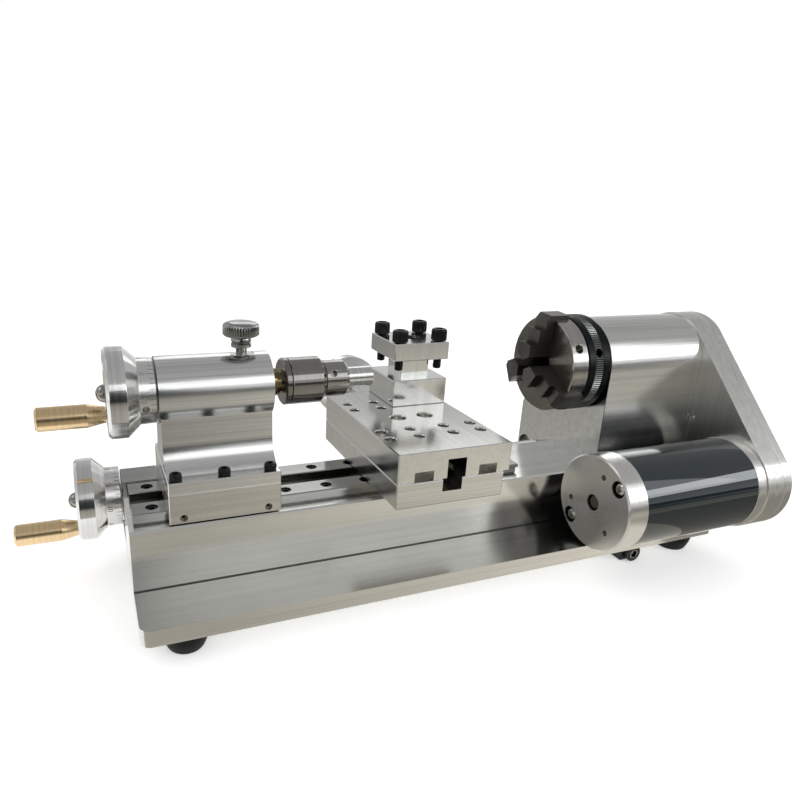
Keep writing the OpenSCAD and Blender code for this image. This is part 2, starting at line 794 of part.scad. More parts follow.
module test_bar() {
    color([0.7, 0.7, 0.71]) turned_x([
        [0, x_quill1 + 23], [6, x_quill1 + 23], [6, x_quill1 + 58.4], [5.5, x_quill1 + 58.9],
        [0, x_quill1 + 58.9]
    ], 0, z_axis);
}

// Knurled thumb screw that locks the quill
module thumb_screw() {
    z0 = z_axis + barrel_r;
    color([0.83, 0.83, 0.82]) translate([x_thumb, 0, 0]) {
        zrod(3.1, z_axis + quill_r + 0.35, z0 + 4);
        zrod(5.8, z0 + 3.2, z0 + 9.2);
        zrod(8.9, z0 + 9.2, z0 + 10);
        translate([0, 0, z0 + 9.9]) linear_extrude(6.4) polygon([
            for (i = [0 : 79]) (i % 2 == 0 ? 10.25 : 9.75) * [cos(i * 4.5), sin(i * 4.5)]
        ]);
        translate([0, 0, z0 + 16.2]) rotate_extrude() polygon([
            [0, 0], [9.7, 0], [9.3, 0.8], [7.6, 1.5], [4, 1.8], [0, 1.9]
        ]);
    }
}

module headstock() {
    dist = norm([flare_y, z_axis - flare_z]);
    ta = -atan2(z_axis - flare_z, flare_y) + acos(head_r / dist);
    color([0.77, 0.76, 0.73]) difference() {
        along_x(x_head0, x_head1) {
            translate([0, z_axis]) circle(r = head_r);
            polygon([
                [-head_r, z_base], [flare_y, z_base], [flare_y, flare_z],
                [head_r * cos(ta), z_axis + head_r * sin(ta)], [0, z_axis], [-head_r, z_axis]
            ]);
        }
        xrod(spindle_r + 2, x_head0 - 1, x_head1 + 1, 0, z_axis);
        xrod(bearing_r + fit_gap, x_head0 - 1, x_head0 + 13, 0, z_axis);
        xrod(bearing_r + fit_gap, x_head1 - 13, x_head1 + 1, 0, z_axis);
        xrod(lead_hole_r, x_head0 - 1, x_head0 + 12, lead_y, lead_z);
        xrod(7, x_head0 - 1, x_head0 + 15, lead_y + 12.5, lead_z - 3.3);
        for (x = head_bolt_x, y = head_bolt_y) {
            zrod(3 + fit_gap, z_base - 1, z_base + 12, x, y);
        }
    }
}

// Two ball bearings as closed rings
module bearings() {
    color([0.7, 0.7, 0.72]) for (x = [x_head0 + 1.5, x_head1 - 12.5]) difference() {
        xrod(bearing_r, x, x + 11, 0, z_axis);
        xrod(spindle_r + fit_gap, x - 1, x + 12, 0, z_axis);
    }
}

// Spindle with its chuck flange and belt pulley, drilled through
module spindle() {
    hole_r = spindle_hole_d / 2;
    color([0.68, 0.68, 0.68]) turned_x([
        [hole_r, x_flange0 - 6], [12, x_flange0 - 6], [12, x_flange0], [28, x_flange0],
        [28, x_flange1], [spindle_r, x_flange1], [spindle_r, x_ring0 + 0.6],
        [pulley_big + 1, x_ring0 + 0.6], [pulley_big + 1, x_ring0 + 1.2], [pulley_big, x_ring0 + 1.2],
        [pulley_big, x_ring1 - 1.2], [pulley_big + 1, x_ring1 - 1.2], [pulley_big + 1, x_ring1 - 0.6],
        [hole_r, x_ring1 - 0.6]
    ], 0, z_axis);
}

// Chuck body with three radial jaw slots
module chuck_body() {
    color([0.66, 0.65, 0.62]) difference() {
        turned_x([
            [8, x_chuck + 1], [9, x_chuck], [chuck_r - 0.8, x_chuck], [chuck_r, x_chuck + 0.8],
            [chuck_r, x_body1], [ring_hub_r, x_body1], [ring_hub_r, x_flange0],
            [12 + fit_gap, x_flange0], [12 + fit_gap, x_flange0 - 6.4], [8, x_flange0 - 6.4]
        ], 0, z_axis);
        for (a = [jaw_first : 120 : jaw_first + 240]) {
            translate([0, 0, z_axis]) rotate([a - 90, 0, 0]) {
                box(x_chuck - 1, x_chuck + jaw_depth + 0.2, -jaw_w / 2 - fit_gap, jaw_w / 2 + fit_gap, 0, 40);
            }
            translate([x_chuck + 6.4, 0, z_axis]) rotate([a + key_hole_turn - 90, 0, 0]) {
                translate([0, 0, chuck_r - 10.4]) cylinder(r = 3, h = 12);
            }
        }
        chuck_screw_places() xrod(2.05, x_chuck + 6, x_flange0 + 1);
    }
}

module chuck_screw_places() {
    for (a = [jaw_first + 60 : 120 : jaw_first + 300]) {
        translate([0, 0, z_axis]) rotate([a - 90, 0, 0]) translate([0, 0, 19]) children();
    }
}

// Screws that hold the chuck to the spindle flange, hidden inside
module chuck_screws() {
    color([0.1, 0.1, 0.11]) chuck_screw_places() xrod(2, x_chuck + 8, x_flange0);
}

// Knurled scroll ring behind the chuck body
module scroll_ring() {
    xk0 = x_ringc0 + 5.2;
    xk1 = x_ringc1 - 5.4;
    color([0.07, 0.07, 0.075]) difference() {
        union() {
            turned_x([
                [ring_hub_r + fit_gap, x_ringc0], [ring_r - 0.7, x_ringc0], [ring_r, x_ringc0 + 0.7],
                [ring_r, xk0], [ring_r - 0.7, xk0], [ring_r - 0.7, xk1], [ring_r, xk1],
                [ring_r, x_ringc1 - 0.7], [ring_r - 0.7, x_ringc1], [ring_hub_r + fit_gap, x_ringc1]
            ], 0, z_axis);
            translate([xk0 + 0.3, 0, z_axis]) rotate([0, 90, 0]) linear_extrude(xk1 - xk0 - 0.6) difference() {
                polygon([
                    for (i = [0 : 287]) (ring_r + (i % 2 == 0 ? 0 : -0.5)) * [cos(i * 1.25), sin(i * 1.25)]
                ]);
                circle(r = ring_r - 2);
            }
        }
        for (a = [66, 186, 306]) {
            translate([(xk0 + xk1) / 2, 0, z_axis]) rotate([a, 0, 0]) translate([0, 0, ring_r - 6]) {
                cylinder(r = 2.75, h = 8);
            }
        }
    }
}

// Stepped jaw with three grooves in each step, drawn pointing up and turned into its slot
module jaw(a) {
    x0 = x_chuck;
    tip = 3.2;
    back = x0 + jaw_depth;
    color([0.24, 0.24, 0.23]) translate([0, 0, z_axis]) rotate([a - 90, 0, 0]) difference() {
        translate([0, jaw_w / 2, 0]) rotate([90, 0, 0]) linear_extrude(jaw_w) polygon([
            [x0 - 16.5, tip], [back, tip], [back, 35.2], [x0 - 3.4, 35.2], [x0 - 6.3, 31.7],
            [x0 - 6.3, 25.2], [x0 - 10.6, 25.2], [x0 - 10.6, 15.4], [x0 - 16.5, 15.4]
        ]);
        for (i = [0 : 2]) {
            box(x0 - 15.9 + i * 1.9, x0 - 15 + i * 1.9, -jaw_w, jaw_w, 14.7, 16);
            box(x0 - 10.2 + i * 1.4, x0 - 9.5 + i * 1.4, -jaw_w, jaw_w, 24.5, 26);
        }
        for (s = [-1, 1]) {
            translate([x0 - 20, 0, 0.4 + tip]) rotate([s * 30, 0, 0]) {
                translate([0, -20, -20]) cube([60, 40, 20]);
            }
        }
    }
}

module jaw_1() {
    jaw(jaw_first);
}

module jaw_2() {
    jaw(jaw_first + 120);
}

module jaw_3() {
    jaw(jaw_first + 240);
}

// Plate that carries the motor and closes the headstock's back
module motor_plate() {
    color([0.75, 0.74, 0.71]) difference() {
        housing_slab(x_head1, x_ring0, housing_r, housing_r);
        xrod(spindle_r + 2, x_head1 - 1, x_ring0 + 1, 0, z_axis);
        xrod(8, x_head1 - 1, x_ring0 + 1, motor_y, motor_z);
        xrod(1.7, x_head1 - 1, x_head1 + 4, -head_r - 2.6, z_axis - 38.8);
    }
}

module belt_ring() {
    color([0.73, 0.72, 0.69]) difference() {
        housing_slab(x_ring0, x_ring1, housing_r, housing_r);
        housing_slab(x_ring0 - 1, x_ring1 + 1, housing_r - 6, housing_r - 6);
    }
}

module belt_cover() {
    color([0.75, 0.74, 0.71]) housing_slab(x_ring1, x_cover, housing_r, housing_r);
}

module belt() {
    x0 = x_ring0 + 1.5;
    x1 = x_ring1 - 1.5;
    color([0.05, 0.05, 0.05]) difference() {
        housing_slab(x0, x1, pulley_big + 1.6, pulley_small + 1.6);
        housing_slab(x0 - 1, x1 + 1, pulley_big + fit_gap, pulley_small + fit_gap);
    }
}

// Face screws sit on one diameter of the cap, with three small holes between them
module motor_cap() {
    x1 = x_motor0 + 14.8;
    color([0.77, 0.76, 0.74]) difference() {
        turned_x([
            [0, x_motor0], [motor_r - 1, x_motor0], [motor_r, x_motor0 + 1], [motor_r, x1], [0, x1]
        ], motor_y, motor_z);
        xrod(5.3, x_motor0 - 1, x_motor0 + 4, motor_y, motor_z);
        xrod(4 + fit_gap, x_motor0 - 1, x1 + 1, motor_y, motor_z);
        for (a = [137, 317]) {
            translate([x_motor0 - 1, motor_y + 25 * cos(a), motor_z + 25 * sin(a)]) rotate([0, 90, 0]) {
                cylinder(r = 5.4, h = 4.5);
                cylinder(r = 2.1, h = 18);
            }
        }
        for (a = [106, 226, 346]) {
            xrod(1.85, x_motor0 - 1, x_motor0 + 9, motor_y + 20.3 * cos(a), motor_z + 20.3 * sin(a));
        }
    }
}

// Long screws that clamp cap and tube, with cross-slotted heads
module motor_screws() {
    color([0.72, 0.72, 0.72]) for (a = [137, 317]) {
        translate([x_motor0, motor_y + 25 * cos(a), motor_z + 25 * sin(a)]) rotate([0, 90, 0]) difference() {
            union() {
                rotate_extrude() polygon([[0, 0.6], [2.4, 0.8], [3.7, 1.7], [4.1, 3.3], [0, 3.3]]);
                cylinder(r = 2, h = 14.6);
            }
            translate([-2.2, -0.5, -1]) cube([4.4, 1, 3]);
            translate([-0.5, -2.2, -1]) cube([1, 4.4, 3]);
            translate([0, 0, -1]) cylinder(r = 2.5, h = 1.6);
        }
    }
}

module motor_tube() {
    x0 = x_motor0 + 14.8;
    color([0.2, 0.25, 0.3]) difference() {
        xrod(motor_r - 0.3, x0, x_head1 - 8, motor_y, motor_z);
        xrod(motor_r - 3.4, x0 - 1, x_head1 - 7, motor_y, motor_z);
    }
}

module motor_flange() {
    color([0.77, 0.76, 0.74]) difference() {
        xrod(motor_r, x_head1 - 8, x_head1, motor_y, motor_z);
        xrod(4 + fit_gap, x_head1 - 9, x_head1 + 1, motor_y, motor_z);
    }
}

// Motor shaft with its rotor and the small belt pulley
module motor_shaft() {
    color([0.6, 0.6, 0.6]) turned_x([
        [0, x_motor0 + 1.5], [3.6, x_motor0 + 1.5], [4, x_motor0 + 1.9], [4, x_motor0 + 24],
        [22, x_motor0 + 24], [22, x_head1 - 18], [4, x_head1 - 18], [4, x_ring0 + 0.6],
        [pulley_small + 1, x_ring0 + 0.6], [pulley_small + 1, x_ring0 + 1.2],
        [pulley_small, x_ring0 + 1.2], [pulley_small, x_ring1 - 1.2],
        [pulley_small + 1, x_ring1 - 1.2], [pulley_small + 1, x_ring1 - 0.6], [0, x_ring1 - 0.6]
    ], motor_y, motor_z);
}

base_plate();
feet();
power_inlet();
bed();
way_near();
way_far();
way_screws();
base_bolts();
leadscrew_bracket();
leadscrew();
lead_dial();
lead_wheel();
lead_handle();
feed_nut();
saddle();
cross_nut();
cross_slide();
cross_bracket();
cross_screw();
cross_dial();
cross_wheel();
cross_handle();
tool_post();
post_bolt();
clamp_bolt_1();
clamp_bolt_2();
clamp_bolt_3();
clamp_bolt_4();
tail_base();
tail_clamp();
tail_body();
tail_screws();
tail_set_screws();
quill();
quill_screw();
tail_dial();
tail_wheel();
tail_handle();
drill_chuck();
drill_sleeve();
test_bar();
thumb_screw();
headstock();
bearings();
spindle();
chuck_body();
chuck_screws();
scroll_ring();
jaw_1();
jaw_2();
jaw_3();
motor_plate();
belt_ring();
belt_cover();
belt();
motor_cap();
motor_tube();
motor_flange();
motor_shaft();
motor_screws();
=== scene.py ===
import math

import bmesh
import bpy
from mathutils import Matrix, Vector


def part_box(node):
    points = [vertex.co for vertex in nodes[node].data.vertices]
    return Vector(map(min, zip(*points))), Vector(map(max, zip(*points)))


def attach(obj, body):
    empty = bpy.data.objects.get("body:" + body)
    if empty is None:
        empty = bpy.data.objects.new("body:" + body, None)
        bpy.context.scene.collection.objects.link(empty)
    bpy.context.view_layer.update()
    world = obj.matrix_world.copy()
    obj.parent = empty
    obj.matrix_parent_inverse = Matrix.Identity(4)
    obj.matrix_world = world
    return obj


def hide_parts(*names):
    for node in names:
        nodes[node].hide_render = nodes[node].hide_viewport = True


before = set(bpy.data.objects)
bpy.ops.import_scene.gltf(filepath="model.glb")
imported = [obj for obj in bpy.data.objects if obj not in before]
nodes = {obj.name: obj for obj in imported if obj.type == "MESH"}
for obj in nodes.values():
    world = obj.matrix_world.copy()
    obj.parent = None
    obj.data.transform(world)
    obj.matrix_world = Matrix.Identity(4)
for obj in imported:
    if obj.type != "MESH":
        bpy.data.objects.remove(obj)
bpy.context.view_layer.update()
MM = 0.001

# Main places and sizes of the lathe in millimetres, the same as in the CAD source
PLATE_TOP = 10.0
AXIS_Z = 115.6
LEAD_Y, LEAD_Z = 37.0, 38.0
CROSS_X, CROSS_Z = -16.9, 73.7
MOTOR_Y, MOTOR_Z = -70.1, 42.3
DIAL_R = 18.4
DIAL_SLOPE = 0.0482
LEAD_DIAL = (-198.6, LEAD_Y, LEAD_Z)
TAIL_DIAL = (-177.9, 0, AXIS_Z)
CROSS_DIAL = (CROSS_X, 96.4, CROSS_Z)
POST_X, POST_Y = -1.6, 40.6
TOP_PLATE = 129.1
CLAMP_REACH = 14.6
SCREW_SEAT = 0.52
FLANGE_TOP = 72.3
FLANGE_SCREW_X = (-172.0, -145.6, -119.5)
FLANGE_SCREW_Y = (-27.0, 27.0)
BARREL_R = 18.7
KNURL_R = 33.1
CHUCK_FRONT = 80.6
SLIDE_TOP = 86.0
SLEEVE_FRONT = -90.0
THUMB_X = -129.0
INLET = (128.0, -66.0, -5.9)
PLATE_SCREW = (196.2, -33.6, 76.8)
CAP_FACE = 79.7
CAP_CIRCLE = 25
CAP_SCREW_ANGLES = (137, 317)

# One point on the axis of the spindle and quill, of each feed screw and of the motor
TAIL = (0, 0, AXIS_Z)
LEAD = (0, LEAD_Y, LEAD_Z)
CROSS = (CROSS_X, 0, CROSS_Z)
MOTOR = (0, MOTOR_Y, MOTOR_Z)


# Materials

class Shader:
    """A material or world under construction, with short calls for its nodes."""

    def __init__(self, name, owner=None):
        self.material = owner or bpy.data.materials.new(name)
        self.material.use_nodes = True
        self.tree = self.material.node_tree
        self.tree.nodes.clear()
        kind = "Object" if owner is None else "Generated"
        self.place = self.add("ShaderNodeTexCoord").outputs[kind]

    def add(self, kind, sockets=None, **settings):
        node = self.tree.nodes.new(kind)
        for key, value in settings.items():
            setattr(node, key, value)
        for key, value in (sockets or {}).items():
            self.feed(node.inputs[key], value)
        return node

    def feed(self, socket, value):
        if isinstance(value, bpy.types.NodeSocket):
            self.tree.links.new(value, socket)
        else:
            socket.default_value = value

    def calc(self, operation, first, second=0.0):
        node = self.add("ShaderNodeMath", operation=operation)
        for socket, value in zip(node.inputs, (first, second)):
            self.feed(socket, value)
        return node.outputs[0]

    def vector(self, operation, first, second=None):
        node = self.add("ShaderNodeVectorMath", operation=operation)
        self.feed(node.inputs[0], first)
        if second is not None:
            self.feed(node.inputs[1], second)
        return node.outputs["Value" if operation == "LENGTH" else "Vector"]

    def scaled(self, scale):
        return self.vector("MULTIPLY", self.place, scale)

    def noise(self, place, scale=1.0, detail=3.0, rough=0.55):
        return self.add("ShaderNodeTexNoise", {
            "Vector": place, "Scale": scale, "Detail": detail, "Roughness": rough,
        }).outputs["Fac"]

    def spread(self, value, low, high, to_low=0.0, to_high=1.0):
        """Maps a value from one range to another, and holds it at the ends."""
        return self.add("ShaderNodeMapRange", {
            "Value": value, "From Min": low, "From Max": high, "To Min": to_low, "To Max": to_high,
        }).outputs[0]

    def swing(self, base, parts):
        """Base value moved up and down by each pattern, given with how far it may go."""
        for pattern, reach in parts:
            shift = self.calc("MULTIPLY", self.calc("SUBTRACT", pattern, 0.5), reach)
            base = self.calc("ADD", base, shift)
        return base

    def rings(self, along, away, scale):
        """Place for a pattern that is the same all the way round an axis."""
        return self.add("ShaderNodeCombineXYZ", {
            0: self.calc("MULTIPLY", along, scale), 1: self.calc("MULTIPLY", away, scale),
        }).outputs[0]

    def blend(self, factor, first, second):
        """Mixes two colours, each either given or made by other nodes."""
        node = self.add("ShaderNodeMix", data_type="RGBA")
        self.feed(node.inputs[0], factor)
        for socket, colour in ((6, first), (7, second)):
            made = isinstance(colour, bpy.types.NodeSocket)
            self.feed(node.inputs[socket], colour if made else (*colour, 1))
        return node.outputs[2]

    def turned(self, axis, centre):
        """Distance along and away from an axis, so that a pattern runs in rings round it."""
        moved = self.vector("SUBTRACT", self.place, [c * MM for c in centre])
        parts = self.add("ShaderNodeSeparateXYZ", {0: moved}).outputs
        order = {"x": (0, 1, 2), "y": (1, 0, 2)}[axis]
        along, a, b = (parts[i] for i in order)
        squares = self.calc("ADD", self.calc("MULTIPLY", a, a), self.calc("MULTIPLY", b, b))
        return along, self.calc("SQRT", squares), a, b

    def recess_mask(self, face, holes):
        """One inside the given round recesses, deeper than the face at that x."""
        parts = self.add("ShaderNodeSeparateXYZ", {0: self.place}).outputs
        inside = 0.0
        for y, z, radius in holes:
            flat = self.add("ShaderNodeCombineXYZ", {
                1: self.calc("SUBTRACT", parts[1], y * MM),
                2: self.calc("SUBTRACT", parts[2], z * MM),
            }).outputs[0]
            near = self.calc("LESS_THAN", self.vector("LENGTH", flat), radius * MM)
            inside = self.calc("MAXIMUM", near, inside)
        return self.calc("MULTIPLY", inside, self.spread(parts[0], face * MM, (face + 0.8) * MM))

    def finish(self, colour, roughness, height=None, bump=0.1, depth=0.0002, metallic=1.0,
               **more):
        sockets = {"Base Color": colour, "Roughness": roughness, "Metallic": metallic}
        sockets.update(more)
        if height is not None:
            sockets["Normal"] = self.add("ShaderNodeBump", {
                "Strength": bump, "Distance": depth, "Height": height,
            }).outputs[0]
        surface = self.add("ShaderNodeBsdfPrincipled", sockets)
        end = self.add("ShaderNodeOutputMaterial")
        self.tree.links.new(surface.outputs[0], end.inputs["Surface"])
        return self.material


def shade(colour, factor):
    """A colour made darker or lighter, none of its parts above one."""
    return [min(1, c * factor) for c in colour]


# Scales of the fine and the broad machining lines, low along the lines and high across them
GRAIN = {
    "x": ((9, 1500, 1500), (2.2, 230, 230)),
    "y": ((1500, 9, 1500), (230, 2.2, 230)),
    "z": ((1500, 1500, 9), (230, 230, 2.2)),
}


def brushed(name, colour, rough, along="x", streak=0.10, bump=0.08, smudge=0.07, across=0.55,
            dark=0.82, top=None):
    """Metal with machining lines, smudges and nicks; top is a height and the factor that darkens
    the colour above it, a painted shade on the top faces.
    """
    s = Shader(name)
    fine = s.noise(s.scaled(GRAIN[along][0]), 1.0, 3.0, 0.6)
    broad = s.noise(s.scaled(GRAIN[along][1]), 1.0, 3.0, 0.6)
    cloud = s.noise(s.place, 22.0, 4.0, 0.55)
    lines = s.calc("ADD", s.calc("MULTIPLY", fine, 0.55), s.calc("MULTIPLY", broad, 0.45))
    tint = s.blend(s.spread(lines, 0.34, 0.66), shade(colour, dark), shade(colour, 1.08))
    rubbed = s.blend(s.spread(cloud, 0.35, 0.75, 0.0, 0.14), tint, shade(colour, 0.7))
    # Above the height in top the colour, smudges included, is darkened: a painted shade on the top
    # faces. From here rubbed holds both the smudges and this painted shade.
    if top:
        up = s.add("ShaderNodeSeparateXYZ", {0: s.place}).outputs[2]
        dull = s.vector("MULTIPLY", rubbed, (top[1], top[1], top[1]))
        rubbed = s.blend(s.calc("GREATER_THAN", up, (top[0] - 0.02) * MM), rubbed, dull)
    value = s.swing(rough, ((lines, streak * 2), (cloud, smudge * 2)))
    nicks = s.add("ShaderNodeTexVoronoi", {"Vector": s.place, "Scale": 420.0}).outputs["Distance"]
    height = s.calc("ADD", lines, s.spread(nicks, 0.0, 0.1, -0.5, 0.0))
    normal = s.add("ShaderNodeNewGeometry").outputs["Normal"]
    line = {"x": (1, 0.003, 0.002), "y": (0.003, 1, 0.002), "z": (0.003, 0.002, 1)}[along]
    tangent = s.vector("CROSS_PRODUCT", normal, line)
    return s.finish(rubbed, value, height, bump, Anisotropic=across, Tangent=tangent)


def turned_metal(name, colour, rough, axis, centre, ring=0.05, bump=0.06, fan=0.6, dark=0.86,
                 scale=900, recesses=None, face_tint=None):
    """Lathe-turned metal: fine rings spread its highlights, and given recesses get a near-black
    colour and more roughness, a painted shade.
    """
    s = Shader(name)
    along, away, a, b = s.turned(axis, centre)
    fine = s.noise(s.rings(along, away, scale), 1.0, 4.0, 0.65)
    cloud = s.noise(s.place, 45.0, 4.0, 0.55)
    tint = s.blend(s.spread(fine, 0.32, 0.68), shade(colour, dark), shade(colour, 1.07))
    tint = s.blend(s.spread(cloud, 0.4, 0.75, 0.0, 0.15), tint, shade(colour, 0.65))
    value = s.swing(rough, ((fine, ring * 2), (cloud, ring)))
    back = s.calc("MULTIPLY", b, -1.0)
    around = s.add("ShaderNodeCombineXYZ", {1 if axis == "x" else 0: back, 2: a})
    # Inside the given recesses the colour turns near black: painted shade in the recesses.
    if recesses:
        recess_shade = s.recess_mask(*recesses)
        tint = s.blend(recess_shade, tint, (0.02, 0.019, 0.017))
        value = s.calc("ADD", value, s.calc("MULTIPLY", recess_shade, 0.25))
    if face_tint:
        x = s.add("ShaderNodeSeparateXYZ", {0: s.place}).outputs[0]
        tint = s.blend(s.calc("LESS_THAN", x, face_tint[0] * MM), tint, face_tint[1])
    normal = s.add("ShaderNodeNewGeometry").outputs["Normal"]
    tangent = s.vector("CROSS_PRODUCT", normal, around.outputs[0])
    return s.finish(tint, value, fine, bump, Anisotropic=fan, Tangent=tangent)


def dark_finish(name, colour, rough, scale=600.0, bump=0.15, metallic=0.0, speck=0.05, **more):
    """Black oxide, rubber or moulded plastic: a fine even grain with lighter rubbed spots."""
    s = Shader(name)
    grain = s.noise(s.place, scale, 3.0, 0.6)
    cloud = s.noise(s.place, scale / 14, 4.0, 0.6)
    rubbed = [c * 1.8 + speck * 0.2 for c in colour]
    tint = s.blend(s.spread(cloud, 0.45, 0.8), colour, rubbed)
    value = s.swing(rough, ((cloud, 0.25),))
    return s.finish(tint, value, grain, bump, metallic=metallic, **more)


def ring_finish(name, colour, crest):
    """Blackened scroll ring whose knurled belt is rubbed bright on the crests of its ribs."""
    s = Shader(name)
    low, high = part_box("scroll_ring")
    along, away = s.turned("x", TAIL)[:2]
    behind = s.calc("GREATER_THAN", along, low[0] + 5.4 * MM)
    before = s.calc("LESS_THAN", along, high[0] - 5.6 * MM)
    belt = s.calc("MULTIPLY", behind, before)
    rubbed = s.calc("MULTIPLY", belt, s.spread(away, (KNURL_R - 0.25) * MM, KNURL_R * MM))
    grain = s.noise(s.place, 700.0, 3.0, 0.6)
    cloud = s.noise(s.place, 50.0, 4.0, 0.6)
    tint = s.blend(s.calc("MULTIPLY", rubbed, s.spread(cloud, 0.2, 0.7, 0.6, 1.0)), colour, crest)
    value = s.spread(cloud, 0.3, 0.7, 0.2, 0.3)
    return s.finish(tint, value, grain, 0.05, metallic=rubbed, IOR=1.22)


def painted(name, colour):
    """Glossy dark enamel over a drawn tube: faint lines along the tube under a clear coat."""
    s = Shader(name)
    lines = s.noise(s.scaled((5, 620, 620)), 1.0, 3.0, 0.6)
    cloud = s.noise(s.place, 30.0, 4.0, 0.5)
    tint = s.blend(s.spread(lines, 0.4, 0.7), colour, shade(colour, 1.4))
    value = s.spread(cloud, 0.3, 0.7, 0.16, 0.24)
    more = {"Coat Weight": 1.0, "Coat Roughness": 0.03, "Coat IOR": 1.7, "IOR": 1.05}
    return s.finish(tint, value, lines, 0.05, 0.0001, metallic=0.0, **more)


def dial_metal(name, colour, rough, axis, centre, outward, ink=0.015):
    """Turned dial whose cut marks, just under its sloping surface, are filled with ink."""
    s = Shader(name)
    along, away = s.turned(axis, centre)[:2]
    fine = s.noise(s.rings(along, away, 1100), 1.0, 4.0, 0.65)
    height = s.calc("MULTIPLY", along, float(outward))
    surface = s.calc("ADD", (DIAL_R - 0.45) * MM, s.calc("MULTIPLY", height, DIAL_SLOPE))
    inner = s.calc("GREATER_THAN", away, (DIAL_R - 0.65) * MM)
    rim = s.calc("MULTIPLY", inner, s.calc("LESS_THAN", away, surface))
    mark = s.calc("MULTIPLY", rim, s.calc("GREATER_THAN", height, 0.55 * MM))
    tint = s.blend(s.spread(fine, 0.32, 0.68), shade(colour, 0.85), shade(colour, 1.05))
    tint = s.blend(mark, tint, (ink, ink, ink))
    polish = s.spread(fine, 0.3, 0.7, rough - 0.06, rough + 0.06)
    value = s.calc("ADD", polish, s.calc("MULTIPLY", mark, 0.3))
    return s.finish(tint, value, fine, 0.08)


def middle(node):
    """Centre of a CAD node's box in millimetres."""
    low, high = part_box(node)
    return [(low[i] + high[i]) / 2 / MM for i in range(3)]


BRIGHT = (0.80, 0.795, 0.78)
BRASS = (0.86, 0.65, 0.385)
SATIN = (0.76, 0.75, 0.73)


def cap_holes():
    """The motor cap's middle hole and two screw recesses: y, z and radius of each."""
    holes = [(MOTOR_Y, MOTOR_Z, 5.6)]
    for angle in CAP_SCREW_ANGLES:
        turn = math.radians(angle)
        holes.append((MOTOR_Y + CAP_CIRCLE * math.cos(turn),
                      MOTOR_Z + CAP_CIRCLE * math.sin(turn), 5.7))
    return holes


